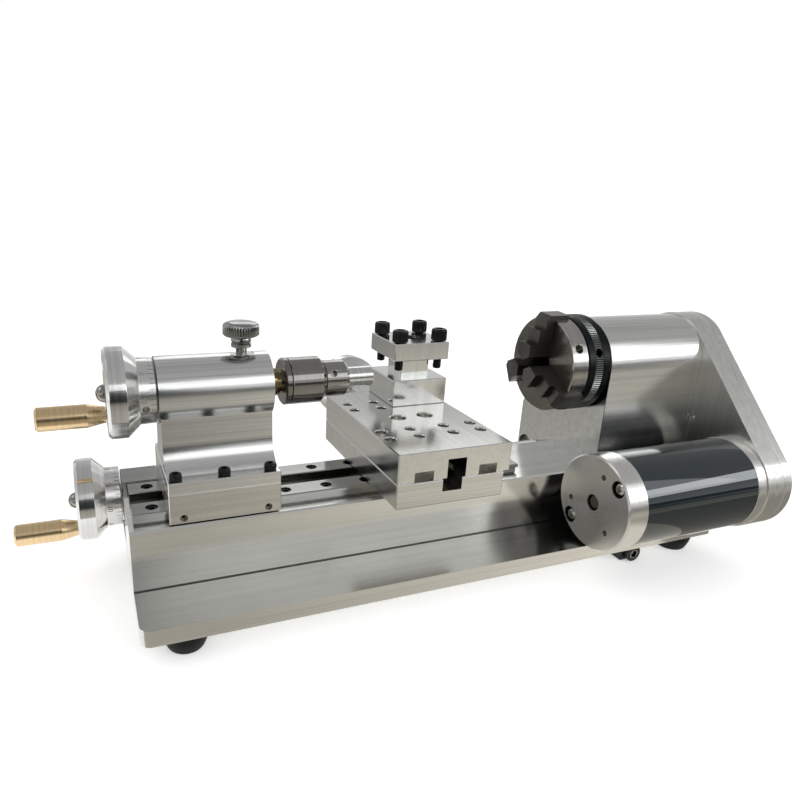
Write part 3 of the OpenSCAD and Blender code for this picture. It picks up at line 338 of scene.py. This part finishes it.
finish = {
    # The plate's top face is darkened above PLATE_TOP: painted shade.
    "plate": brushed("plate_milled", (0.76, 0.75, 0.72), 0.2, streak=0.04, bump=0.02, smudge=0.03,
                     across=0.35, dark=0.9, top=(PLATE_TOP, 0.46)),
    "bed": brushed("bed_milled", (0.80, 0.80, 0.77), 0.16, streak=0.03, bump=0.015, smudge=0.04,
                   across=0.3, dark=0.9),
    "ways": brushed("way_ground", (0.34, 0.34, 0.33), 0.16, streak=0.04, bump=0.03),
    # The slide's top face is darkened above SLIDE_TOP: painted shade.
    "slide": brushed("slide_polished", (0.76, 0.755, 0.725), 0.17, "y", streak=0.04, bump=0.02,
                     smudge=0.03, across=0.4, dark=0.92, top=(SLIDE_TOP, 0.72)),
    "saddle": brushed("saddle_milled", (0.75, 0.74, 0.71), 0.2, streak=0.05, bump=0.03,
                      smudge=0.04),
    "post": brushed("post_polished", (0.80, 0.805, 0.785), 0.13, "z", streak=0.05, bump=0.03,
                    smudge=0.05, across=0.3, dark=0.92),
    "tail": brushed("tail_brushed", (0.78, 0.785, 0.77), 0.17, streak=0.07, bump=0.05),
    "foot": brushed("foot_milled", (0.78, 0.755, 0.71), 0.28, streak=0.05, bump=0.04),
    "head": brushed("head_brushed", (0.72, 0.72, 0.70), 0.2, streak=0.06, bump=0.05, smudge=0.07),
    "housing": brushed("housing_satin", (0.74, 0.74, 0.71), 0.3, "z", streak=0.04, bump=0.03),
    "lead_dial": dial_metal("lead_dial_turned", BRIGHT, 0.24, "x", LEAD_DIAL, -1),
    "tail_dial": dial_metal("tail_dial_turned", BRIGHT, 0.2, "x", TAIL_DIAL, -1, ink=0.30),
    "cross_dial": dial_metal("cross_dial_turned", BRIGHT, 0.24, "y", CROSS_DIAL, 1),
    # The motor cap's middle hole and screw recesses get painted shade.
    "motor_cap": turned_metal("motor_cap_turned", SATIN, 0.28, "x", MOTOR, ring=0.03, bump=0.03,
                              fan=0.8, dark=0.94, scale=2600, recesses=(CAP_FACE, cap_holes())),
    "motor_flange": turned_metal("motor_flange_turned", SATIN, 0.28, "x", MOTOR),
    "paint": painted("motor_enamel", (0.003, 0.009, 0.012)),
    "brass_quill": turned_metal("brass_quill_turned", (0.70, 0.53, 0.26), 0.2, "x", TAIL, fan=0.4),
    "black": dark_finish("black_oxide", (0.005, 0.005, 0.006), 0.24, scale=900.0, bump=0.06,
                         speck=0.01, IOR=1.33),
    "rubber": dark_finish("rubber_moulded", (0.006, 0.006, 0.006), 0.6, scale=700.0, bump=0.25,
                          speck=0.01, IOR=1.33),
    "plastic": dark_finish("plastic_moulded", (0.008, 0.008, 0.008), 0.35, scale=1200.0, bump=0.15,
                           speck=0.01, IOR=1.4),
    # The chuck's front face gets a darker colour: painted shade, standing for the dark room it
    # reflects.
    "chuck": turned_metal("chuck_turned", (0.46, 0.45, 0.43), 0.22, "x", TAIL, bump=0.05, fan=0.93,
                          face_tint=(CHUCK_FRONT + 0.5, (0.19, 0.18, 0.155))),
    "jaw": dark_finish("jaw_hardened", (0.085, 0.081, 0.073), 0.38, scale=500.0, bump=0.08,
                       metallic=1.0),
    "ring": ring_finish("ring_blackened", (0.003, 0.004, 0.005), (0.34, 0.35, 0.35)),
    "sleeve": turned_metal("sleeve_blued", (0.29, 0.278, 0.265), 0.13, "x", TAIL, ring=0.02,
                           bump=0.02, fan=0.4, dark=0.95),
    "nose": turned_metal("nose_ground", (0.52, 0.505, 0.48), 0.15, "x", TAIL, fan=0.4),
    "arbor": turned_metal("drill_chuck_turned", (0.36, 0.35, 0.335), 0.15, "x", TAIL, ring=0.04,
                          bump=0.05, fan=0.4, dark=0.93,
                          face_tint=(SLEEVE_FRONT, (0.24, 0.23, 0.22))),
    # The dome nuts are plated and bright; their dark colour is painted shade, standing for the
    # dark room they reflect.
    "nut": turned_metal("plated_nut_painted_dark", (0.34, 0.33, 0.31), 0.12, "x", TAIL, ring=0.03, bump=0.03,
                        fan=0.2),
    "steel": turned_metal("steel_ground", (0.72, 0.715, 0.70), 0.15, "x", TAIL, fan=0.3),
    "shaft": turned_metal("shaft_dull", (0.22, 0.19, 0.165), 0.3, "x", MOTOR, fan=0.3),
    "zinc": dark_finish("zinc_plated", (0.28, 0.285, 0.275), 0.15, scale=800.0, bump=0.05,
                        metallic=1.0),
    "faint_ink": dark_finish("worn_ink", (0.30, 0.30, 0.29), 0.4, scale=1500.0, bump=0.1,
                             metallic=1.0),
    "ink": dark_finish("dial_ink", (0.01, 0.01, 0.01), 0.5, scale=1500.0, bump=0.1),
}
for feed, axis, centre in (("lead", "x", LEAD), ("tail", "x", TAIL), ("cross", "y", CROSS)):
    finish[feed + "_wheel"] = turned_metal(feed + "_wheel_turned", BRIGHT, 0.16, axis, centre)
    finish["brass_" + feed] = turned_metal("brass_" + feed + "_turned", BRASS, 0.25, axis,
                                           middle(feed + "_handle"), ring=0.04, bump=0.04, fan=0.3)

# Material and bevel width in millimetres for each CAD node that stays visible
dressed = {
    "base_plate": ("plate", 0.45), "feet": ("rubber", 0.1), "power_inlet": ("plastic", 0.12),
    "bed": ("bed", 0.2), "way_near": ("ways", 0.2), "way_far": ("ways", 0.2),
    "way_screws": ("black", 0.06), "base_bolts": ("black", 0.1),
    "leadscrew_bracket": ("ways", 0.15), "headstock": ("head", 0.35), "bearings": ("steel", 0),
    "motor_plate": ("housing", 0.8), "belt_ring": ("housing", 0.8),
    "belt_cover": ("housing", 0.8), "belt": ("rubber", 0),
    "motor_cap": ("motor_cap", 0.12), "motor_tube": ("paint", 0.1),
    "motor_flange": ("motor_flange", 0.6), "motor_screws": ("nose", 0.05),
    "motor_shaft": ("shaft", 0.05),
    "lead_dial": ("lead_dial", 0), "lead_wheel": ("lead_wheel", 0.12),
    "lead_handle": ("brass_lead", 0.1),
    "saddle": ("saddle", 0.12), "feed_nut": ("brass_quill", 0.15),
    "cross_nut": ("brass_quill", 0.1), "cross_slide": ("slide", 0.12),
    "cross_bracket": ("slide", 0.15), "tool_post": ("post", 0.12), "post_bolt": ("black", 0.15),
    "cross_dial": ("cross_dial", 0), "cross_wheel": ("cross_wheel", 0.12),
    "cross_handle": ("brass_cross", 0.1),
    "tail_base": ("foot", 0.12), "tail_clamp": ("steel", 0.1), "tail_body": ("tail", 0.15),
    "tail_set_screws": ("shaft", 0.05), "tail_dial": ("tail_dial", 0),
    "tail_wheel": ("tail_wheel", 0.12), "tail_handle": ("brass_tail", 0.1),
    "quill": ("brass_quill", 0.1), "drill_chuck": ("arbor", 0.1),
    "drill_sleeve": ("sleeve", 0.05), "test_bar": ("steel", 0.1),
    "spindle": ("steel", 0.1), "chuck_body": ("chuck", 0.15), "chuck_screws": ("black", 0),
    "scroll_ring": ("ring", 0),
    "jaw_1": ("jaw", 0.05), "jaw_2": ("jaw", 0.05), "jaw_3": ("jaw", 0.05),
}


def dress(node, material, width):
    """Gives a CAD node its material, and rounds its edges a little where width isn't zero."""
    piece = nodes[node]
    for slot in piece.material_slots:
        slot.material = material
    if width == 0:
        return
    weld = piece.modifiers.new("join_corners", "WELD")
    weld.merge_threshold = 1e-6
    flat = piece.modifiers.new("plain_faces", "DECIMATE")
    flat.decimate_type = "DISSOLVE"
    flat.angle_limit = math.radians(0.3)
    edge = piece.modifiers.new("soft_edges", "BEVEL")
    edge.width = width * MM
    edge.segments = 2
    edge.limit_method = "ANGLE"
    edge.angle_limit = math.radians(32)
    edge.harden_normals = True
    weight = piece.modifiers.new("even_faces", "WEIGHTED_NORMAL")
    weight.keep_sharp = True
    weight.weight = 80


for node, (look, width) in dressed.items():
    dress(node, finish[look], width)


# Pieces built in mesh code

def turned_points(columns, radius, height):
    """One ring of points; the radius may depend on the angle."""
    ring = []
    for i in range(columns):
        angle = 2 * math.pi * i / columns
        r = radius(angle) if callable(radius) else radius
        ring.append((r * MM * math.cos(angle), r * MM * math.sin(angle), height * MM))
    return ring


def ring_faces(start, rings, columns):
    """Quads between stacked rings and one face over each end."""
    faces = [tuple(start + i for i in reversed(range(columns)))]
    for k in range(rings - 1):
        low, high = start + k * columns, start + (k + 1) * columns
        for i in range(columns):
            j = (i + 1) % columns
            faces.append((low + i, low + j, high + j, high + i))
    last = start + (rings - 1) * columns
    faces.append(tuple(last + i for i in range(columns)))
    return faces


# Turns that bring a piece's height to each direction
FACING = {
    "-x": Matrix(((0, 0, -1), (0, 1, 0), (1, 0, 0))),
    "+y": Matrix(((1, 0, 0), (0, 0, 1), (0, -1, 0))),
    "-y": Matrix(((1, 0, 0), (0, 0, -1), (0, 1, 0))),
    "+z": Matrix.Identity(3),
}


def ring_piece(name, rings, columns, places, facing, look, body, node=None, sharp=35):
    """A closed piece from stacked rings, once at each place, with its height along facing."""
    turn = FACING[facing]
    points, faces = [], []
    for place in places:
        start = len(points)
        for radius, height in rings:
            for point in turned_points(columns, radius, height):
                points.append(turn @ Vector(point) + Vector(place) * MM)
        faces += ring_faces(start, len(rings), columns)
    mesh_piece(name, points, faces, look, body, node, sharp)


def mesh_piece(name, points, faces, look, body, node=None, sharp=35):
    """A piece of a closed mesh that rides on a body, and may stand for a CAD node."""
    mesh = bpy.data.meshes.new(name)
    mesh.from_pydata(points, [], faces)
    mesh.validate()
    shaper = bmesh.new()
    shaper.from_mesh(mesh)
    bmesh.ops.recalc_face_normals(shaper, faces=shaper.faces)
    shaper.to_mesh(mesh)
    shaper.free()
    mesh.shade_smooth()
    mesh.set_sharp_from_angle(angle=math.radians(sharp))
    mesh.materials.append(finish[look])
    piece = bpy.data.objects.new(name, mesh)
    bpy.context.scene.collection.objects.link(piece)
    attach(piece, body)
    if node:
        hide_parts(node)


def thread_rings(radius, depth, pitch, low, high, step=6):
    """Rings of a screw thread: the radius dips once in every pitch, shifted round the screw."""
    def at(height):
        def radius_at(angle):
            phase = (height / pitch - angle / (2 * math.pi)) % 1.0
            dip = min(1.0, max(0.0, 2.6 * (1 - abs(2 * phase - 1)) - 0.7))
            return radius - depth * dip
        return radius_at
    count = int(round((high - low) / pitch * step))
    heights = [low + (high - low) * k / count for k in range(count + 1)]
    return [(at(height), height) for height in heights]


def ribbed(radius, depth, count):
    """Radius of a straight knurl with rounded ribs."""
    return lambda angle: radius - depth * (0.5 - 0.5 * math.cos(count * angle))


def hexagon(width):
    """Radius of a hexagonal socket of that width across its flats."""
    def radius_at(angle):
        turn = (angle + math.pi / 6) % (math.pi / 3) - math.pi / 6
        return width / 2 / math.cos(turn)
    return radius_at


def socket_head(width, height, socket, ribs):
    """Rings of a cap screw's head: knurled side, rounded rim and hexagonal socket."""
    r = width / 2
    side = ribbed(r, 0.16, ribs)
    return [
        (r - 0.5, 0.0), (ribbed(r - 0.15, 0.1, ribs), 0.3), (side, 0.7),
        (side, height - 1.7), (ribbed(r - 0.05, 0.06, ribs), height - 1.3),
        (r * 0.965, height - 0.85), (r * 0.90, height - 0.4), (r * 0.81, height - 0.1),
        (r * 0.72, height), (hexagon(socket + 0.5), height),
        (hexagon(socket), height - 0.3), (hexagon(socket), height * 0.5),
        (socket * 0.32, height * 0.42),
    ]


def clamp_screw_rings():
    """Rings of a tool clamping screw: its tip, thread, neck and head."""
    tip = [(1.9, -19.6), (2.5, -19.3)]
    thread = thread_rings(2.94, 0.42, 1.0, -18.9, -0.9)
    return tip + thread + [(2.9, -0.5), (2.9, 0.0)] + socket_head(10.7, 7.95, 5.0, 48)


for number, (sx, sy) in enumerate([(-1, -1), (1, -1), (1, 1), (-1, 1)], 1):
    corner = (POST_X + sx * CLAMP_REACH, POST_Y + sy * CLAMP_REACH, TOP_PLATE + SCREW_SEAT)
    ring_piece("clamp_screw_%d" % number, clamp_screw_rings(), 96, [corner], "+z", "black",
               "clamp_%d" % number, "clamp_bolt_%d" % number)

flange_places = [(x, y, FLANGE_TOP) for x in FLANGE_SCREW_X for y in FLANGE_SCREW_Y]
flange_shank = [(1.6, -13.9), (1.94, -13.5), (1.94, 0.0)]
ring_piece("flange_screws", flange_shank + socket_head(6.95, 4.0, 3.0, 36), 72, flange_places,
           "+z", "black", "tailstock", "tail_screws")


def thumb_rings():
    """Rings of the thumb screw: its shank, collars and knurled head over the barrel."""
    side = ribbed(10.25, 0.75, 40)
    base = AXIS_Z + BARREL_R
    return [(r, base + h) for r, h in (
        (3.05, -8.5), (3.05, 1.6), (3.3, 2.6), (4.9, 3.2), (5.5, 3.35), (5.75, 3.8), (5.75, 5.5),
        (5.2, 5.95), (5.2, 6.35), (5.75, 6.8), (5.75, 8.7), (5.4, 9.2), (7.8, 9.3), (8.9, 9.6),
        (ribbed(9.6, 0.2, 40), 10.0), (side, 10.6), (side, 15.2), (ribbed(9.95, 0.45, 40), 16.0),
        (ribbed(9.4, 0.15, 40), 16.6), (8.7, 17.0), (7.4, 17.45), (5.2, 17.8), (2.6, 17.98),
        (0.8, 18.02),
    )]


ring_piece("thumb_knob", thumb_rings(), 320, [(THUMB_X, 0, 0)], "+z", "zinc", "thumb",
           "thumb_screw")


def feed_screw(name, node, body, place, facing, start, end, wheel, collar=None):
    """Screw threaded from start to end, with its collar, and the dome nut at the wheel's face."""
    rings = [(2.6, start), (3.2, start + 0.6)] + thread_rings(3.99, 0.85, 2.0, start + 1.0, end, 5)
    if collar:
        low, high, r = collar
        rings += [(3.99, low - 0.01), (r - 0.3, low), (r, low + 0.3),
                  (r, high - 0.3), (r - 0.3, high), (3.99, high + 0.01)]
    rings += [(3.99, wheel + 0.6), (3.0, wheel + 1.2)]
    ring_piece(name + "_thread", rings, 24, [place], facing, "steel", body, node)
    nut = [(4.85, wheel - 0.2), (4.9, wheel), (4.9, wheel + 0.6), (4.72, wheel + 1.5),
           (4.3, wheel + 2.5), (3.6, wheel + 3.45), (2.7, wheel + 4.15), (1.5, wheel + 4.62),
           (0.4, wheel + 4.78)]
    ring_piece(name + "_nut", nut, 48, [place], facing, "nut", body, None, 50)


feed_screw("lead", "leadscrew", "lead_feed", LEAD, "-x", start=-124.2, end=170.0, wheel=224.0,
           collar=(170.5, 175.2, 7.0))
feed_screw("cross", "cross_screw", "cross_feed", CROSS, "+y", start=-32.0, end=54.0, wheel=121.8,
           collar=(54.8, 59.5, 5.6))
feed_screw("quill", "quill_screw", "tail_feed", TAIL, "-x", start=145.2, end=176.0, wheel=203.3)


# Numbers on the dials: strokes of each figure on a grid four wide and six high, and their sizes
STROKE_GRID, STROKE_HALF = 0.36, 0.17
FIGURE_HEIGHT, FIGURE_GAP = 6.9, 0.55
FIGURES = {
    "0": [(1, 0, 3, 0), (3, 0, 4, 1), (4, 1, 4, 5), (4, 5, 3, 6), (3, 6, 1, 6), (1, 6, 0, 5),
          (0, 5, 0, 1), (0, 1, 1, 0)],
    "1": [(2, 0, 2, 6), (2, 6, 0.7, 4.8)],
    "2": [(4, 0, 0, 0), (0, 0, 4, 4), (4, 4, 4, 5), (4, 5, 3, 6), (3, 6, 1, 6), (1, 6, 0, 5)],
    "3": [(0, 1, 1, 0), (1, 0, 3, 0), (3, 0, 4, 1), (4, 1, 4, 2.3), (4, 2.3, 3, 3.2),
          (3, 3.2, 1.4, 3.2), (3, 3.2, 4, 4.1), (4, 4.1, 4, 5), (4, 5, 3, 6), (3, 6, 1, 6),
          (1, 6, 0, 5)],
    "5": [(0, 1, 1, 0), (1, 0, 3, 0), (3, 0, 4, 1), (4, 1, 4, 2.7), (4, 2.7, 3, 3.6),
          (3, 3.6, 0, 3.6), (0, 3.6, 0, 6), (0, 6, 4, 6)],
}


def stroke(points, faces, a, b, on_dial):
    """Adds one closed thin box for the stroke from a to b, laid on the dial."""
    run = (b - a).normalized() * STROKE_HALF
    side = Vector((-run.y, run.x))
    a, b = a - run * 0.8, b + run * 0.8
    start = len(points)
    for lift in (-0.04, 0.03):
        for corner in (a + side, a - side, b - side, b + side):
            points.append(on_dial(corner.x, corner.y, lift))
    faces.append((start + 3, start + 2, start + 1, start))
    faces.append((start + 4, start + 5, start + 6, start + 7))
    for i in range(4):
        j = (i + 1) % 4
        faces.append((start + i, start + j, start + 4 + j, start + 4 + i))


def dial_numbers(name, body, centre, axis, outward, look="ink"):
    """Figures wrapped on a dial at each longer mark, read round the dial from the top."""
    points, faces = [], []

    def on_dial(u, v, lift):
        angle = math.pi / 2 + u / DIAL_R
        height = FIGURE_HEIGHT + v
        radius = DIAL_R - 0.4 + DIAL_SLOPE * (height - 0.6) + lift
        across = (radius * math.cos(angle), radius * math.sin(angle))
        if axis == "x":
            place = (centre[0] + outward * height, centre[1] + across[0], centre[2] + across[1])
        else:
            place = (centre[0] + across[0], centre[1] + outward * height, centre[2] + across[1])
        return Vector(place) * MM

    figure_width = 4 * STROKE_GRID
    for step in range(8):
        text = str(step * 5)
        width = len(text) * figure_width + (len(text) - 1) * FIGURE_GAP
        for place, figure in enumerate(text):
            left = step * math.pi / 4 * DIAL_R - width / 2 + place * (figure_width + FIGURE_GAP)
            for x0, y0, x1, y1 in FIGURES[figure]:
                a = Vector((left + x0 * STROKE_GRID, (y0 - 3) * STROKE_GRID))
                b = Vector((left + x1 * STROKE_GRID, (y1 - 3) * STROKE_GRID))
                stroke(points, faces, a, b, on_dial)
    mesh_piece(name, points, faces, look, body)


dial_numbers("lead_numbers", "lead_feed", LEAD_DIAL, "x", -1)
dial_numbers("tail_numbers", "tail_feed", TAIL_DIAL, "x", -1, "faint_ink")
dial_numbers("cross_numbers", "cross_feed", CROSS_DIAL, "y", 1)

inlet_sleeve = [(3.15, -7.0), (3.15, 0.35), (2.95, 0.55), (2.6, 0.55), (2.45, 0.35), (2.45, -6.6)]
inlet_pin = [(0.9, -7.4), (0.9, -1.4), (0.75, -0.9), (0.4, -0.7)]
plate_screw = [(1.2, -3.6), (1.62, -3.4), (1.62, -0.2), (1.4, 0.0), (hexagon(1.7), 0.0),
               (hexagon(1.7), -1.1), (0.3, -1.3)]
ring_piece("inlet_sleeve", inlet_sleeve, 48, [INLET], "-y", "zinc", "frame")
ring_piece("plate_screw", plate_screw, 36, [PLATE_SCREW], "-x", "steel", "frame")
ring_piece("inlet_pin", inlet_pin, 24, [INLET], "-y", "zinc", "frame")


# Floor, light and camera

def show(s, shader):
    """Links a shader to the output of its material or world."""
    kind = "World" if isinstance(s.material, bpy.types.World) else "Material"
    s.tree.links.new(shader, s.add("ShaderNodeOutput" + kind).inputs["Surface"])
    return s.material


def seen_rays(s):
    """One for camera, glossy and transmission rays, so that metal shows the pale background."""
    path = s.add("ShaderNodeLightPath").outputs
    first = s.calc("MAXIMUM", path["Is Camera Ray"], path["Is Glossy Ray"])
    return s.calc("MAXIMUM", first, path["Is Transmission Ray"])


def floor_material():
    """Pale paper that keeps the lathe's shadow and looks nearly white to the eye and in metal."""
    s = Shader("floor_paper")
    grain = s.noise(s.place, 60.0, 4.0, 0.5)
    tint = s.blend(s.spread(grain, 0.3, 0.7), (0.85, 0.85, 0.85), (0.87, 0.87, 0.87))
    matt = s.add("ShaderNodeBsdfDiffuse", {"Color": tint}).outputs[0]
    strength = s.calc("MULTIPLY", seen_rays(s), 0.42)
    glow = s.add("ShaderNodeEmission", {"Color": (1, 1, 1, 1), "Strength": strength}).outputs[0]
    return show(s, s.add("ShaderNodeAddShader", {0: matt, 1: glow}).outputs[0])


def card_material(name, near, far, axis=1, low=0.0, high=1.0, side=None):
    """A card toned from near to far along one axis, and brighter along x where side is given."""
    s = Shader(name)
    parts = s.add("ShaderNodeSeparateXYZ", {0: s.place}).outputs
    tint = s.blend(s.spread(parts[axis], low, high), near, far)
    strength = s.spread(parts[0], *side) if side else 1.0
    return show(s, s.add("ShaderNodeEmission", {"Color": tint, "Strength": strength}).outputs[0])


def card(name, corners, material, hidden=True):
    """A flat sheet of the stage; a hidden one is only seen in the metal's reflections."""
    mesh = bpy.data.meshes.new(name)
    mesh.from_pydata(corners, [], [tuple(range(len(corners)))])
    mesh.materials.append(material)
    sheet = bpy.data.objects.new(name, mesh)
    bpy.context.scene.collection.objects.link(sheet)
    if hidden:
        sheet.visible_camera = False
        sheet.visible_shadow = False
        sheet.visible_diffuse = False


def level_card(name, x, y, z, material, hidden=True):
    """A card that lies at height z, over a range of x and of y."""
    corners = [(x[0], y[0], z), (x[1], y[0], z), (x[1], y[1], z), (x[0], y[1], z)]
    card(name, corners, material, hidden)


def upright_card(name, x, y, z, material):
    """A card that stands across y, over a range of x and of z."""
    card(name, [(x[0], y, z[0]), (x[1], y, z[0]), (x[1], y, z[1]), (x[0], y, z[1])], material)


# Heights of the floor, just under the feet, and of the cards that lie on it
FLOOR_Z = -0.0121
CARD_Z = -0.0115

level_card("floor", (-6, 6), (-6, 8), FLOOR_Z, floor_material(), hidden=False)
# The cards glow and are seen only in the metal: painted reflections of a room darker than the
# backdrop. The near card is darkest next to the lathe, a painted shade.
level_card("near_card", (-1.2, 1.6), (-2.2, -0.0705), CARD_Z,
           card_material("near_card_tone", (0.10, 0.10, 0.095), (0.78, 0.745, 0.66),
                         low=-0.9, high=-0.12, side=(-0.16, 0.12, 0.54, 1.0)))
# A painted shadow: a dark glowing sheet under the motor, seen only in the metal, stands for the
# motor's shadow on the floor.
level_card("motor_shadow_card", (0.17, 0.7), (-0.27, -0.0705), CARD_Z + 0.0002,
           card_material("motor_shadow_card_tone", (0.20, 0.19, 0.17), (0.34, 0.32, 0.28), axis=0,
                         low=0.5, high=0.17))
level_card("left_card", (-1.5, 0.12), (0.09, 1.6), CARD_Z,
           card_material("left_card_tone", (0.44, 0.43, 0.40), (0.27, 0.265, 0.25),
                         low=0.16, high=0.6))
upright_card("dark_card", (-0.9, 0.1), -1.6, (0.0, 0.5),
             card_material("dark_card_tone", (0.10, 0.098, 0.095), (0.26, 0.27, 0.28), axis=2,
                           low=0.05, high=0.5))
upright_card("low_card", (0.1, 2.3), -1.6, (0.0, 0.2),
             card_material("low_card_tone", (0.10, 0.095, 0.088), (0.14, 0.137, 0.13), axis=2,
                           low=0.0, high=0.2))
upright_card("middle_card", (-0.40, -0.09), -0.9, (0.0, 0.45),
             card_material("middle_card_tone", (0.012, 0.013, 0.016), (0.02, 0.02, 0.022)))


def area_light(name, place, aim, size, radiance, colour=(1, 1, 1)):
    """A rectangular lamp that looks equally bright whatever its size."""
    data = bpy.data.lights.new(name, "AREA")
    data.shape = "RECTANGLE"
    data.size, data.size_y = size
    data.energy = radiance * math.pi * size[0] * size[1]
    data.color = colour
    lamp = bpy.data.objects.new(name, data)
    lamp.location = place
    lamp.rotation_mode = "QUATERNION"
    lamp.rotation_quaternion = (Vector(aim) - Vector(place)).to_track_quat("-Z", "Y")
    bpy.context.scene.collection.objects.link(lamp)


# The lathe's middle and its motor, where the lamps point
MIDDLE = (0.0, 0.0, 0.08)
MOTOR_SIDE = (0.12, -0.05, 0.08)
area_light("key", (0.46, -0.96, 0.66), MIDDLE, (1.35, 0.52), 1.1, (0.97, 0.99, 1.0))
area_light("window", (0.92, -0.74, 0.44), MOTOR_SIDE, (0.66, 0.24), 3.6, (0.94, 0.98, 1.0))
area_light("fill_left", (-0.95, 0.25, 0.95), MIDDLE, (0.7, 0.6), 1.1)
area_light("fill_back", (0.5, 1.2, 0.9), MIDDLE, (1.2, 0.6), 1.1)


def studio_world():
    """Pale backdrop to the eye and in metal, darker toward the ceiling, and an even soft light."""
    world = bpy.data.worlds.new("studio")
    bpy.context.scene.world = world
    s = Shader("studio", world)
    height = s.add("ShaderNodeSeparateXYZ", {0: s.place}).outputs[2]
    tone = s.add("ShaderNodeValToRGB", {0: height})
    ramp = tone.color_ramp
    ramp.elements[0].color = (0.90, 0.90, 0.90, 1)
    ramp.elements[1].color = (0.38, 0.38, 0.39, 1)
    for position, level in ((0.2, 0.66), (0.32, 0.52), (0.6, 0.44)):
        ramp.elements.new(position).color = (level, level, level, 1)
    path = s.add("ShaderNodeLightPath").outputs
    mirrored = s.calc("MAXIMUM", path["Is Glossy Ray"], path["Is Transmission Ray"])
    soft = s.add("ShaderNodeBackground", {"Color": (1, 1, 1, 1), "Strength": 0.72}).outputs[0]
    shown = s.add("ShaderNodeBackground", {"Color": tone.outputs[0], "Strength": 1.0}).outputs[0]
    pale = s.add("ShaderNodeBackground", {"Color": (1, 1, 1, 1), "Strength": 1.0}).outputs[0]
    inner = s.add("ShaderNodeMixShader", {0: mirrored, 1: soft, 2: shown}).outputs[0]
    show(s, s.add("ShaderNodeMixShader", {0: path["Is Camera Ray"], 1: inner, 2: pale}).outputs[0])


studio_world()


def aim_camera(place, forward, level, roll, lens, shift):
    """The photograph's camera: where it stands, what it looks along and its level direction."""
    data = bpy.data.cameras.new("camera")
    data.sensor_width = 36.0
    data.lens = lens
    data.shift_x, data.shift_y = shift
    data.clip_start, data.clip_end = 0.01, 30.0
    camera = bpy.data.objects.new("camera", data)
    forward, level = Vector(forward).normalized(), Vector(level).normalized()
    above = level.cross(forward)
    side = level * math.cos(roll) + above * math.sin(roll)
    top = above * math.cos(roll) - level * math.sin(roll)
    turn = Matrix((side, top, -forward)).transposed().to_4x4()
    camera.matrix_world = Matrix.Translation(place) @ turn
    bpy.context.scene.collection.objects.link(camera)
    bpy.context.scene.camera = camera


aim_camera((-0.2094, -0.3616, 0.2227), (0.3633, 0.8720, -0.3280), (0.9231, -0.3846, 0.0),
           math.radians(2.38), lens=29.616, shift=(0.0589, 0.0257))
bpy.context.scene.view_settings.view_transform = "Standard"
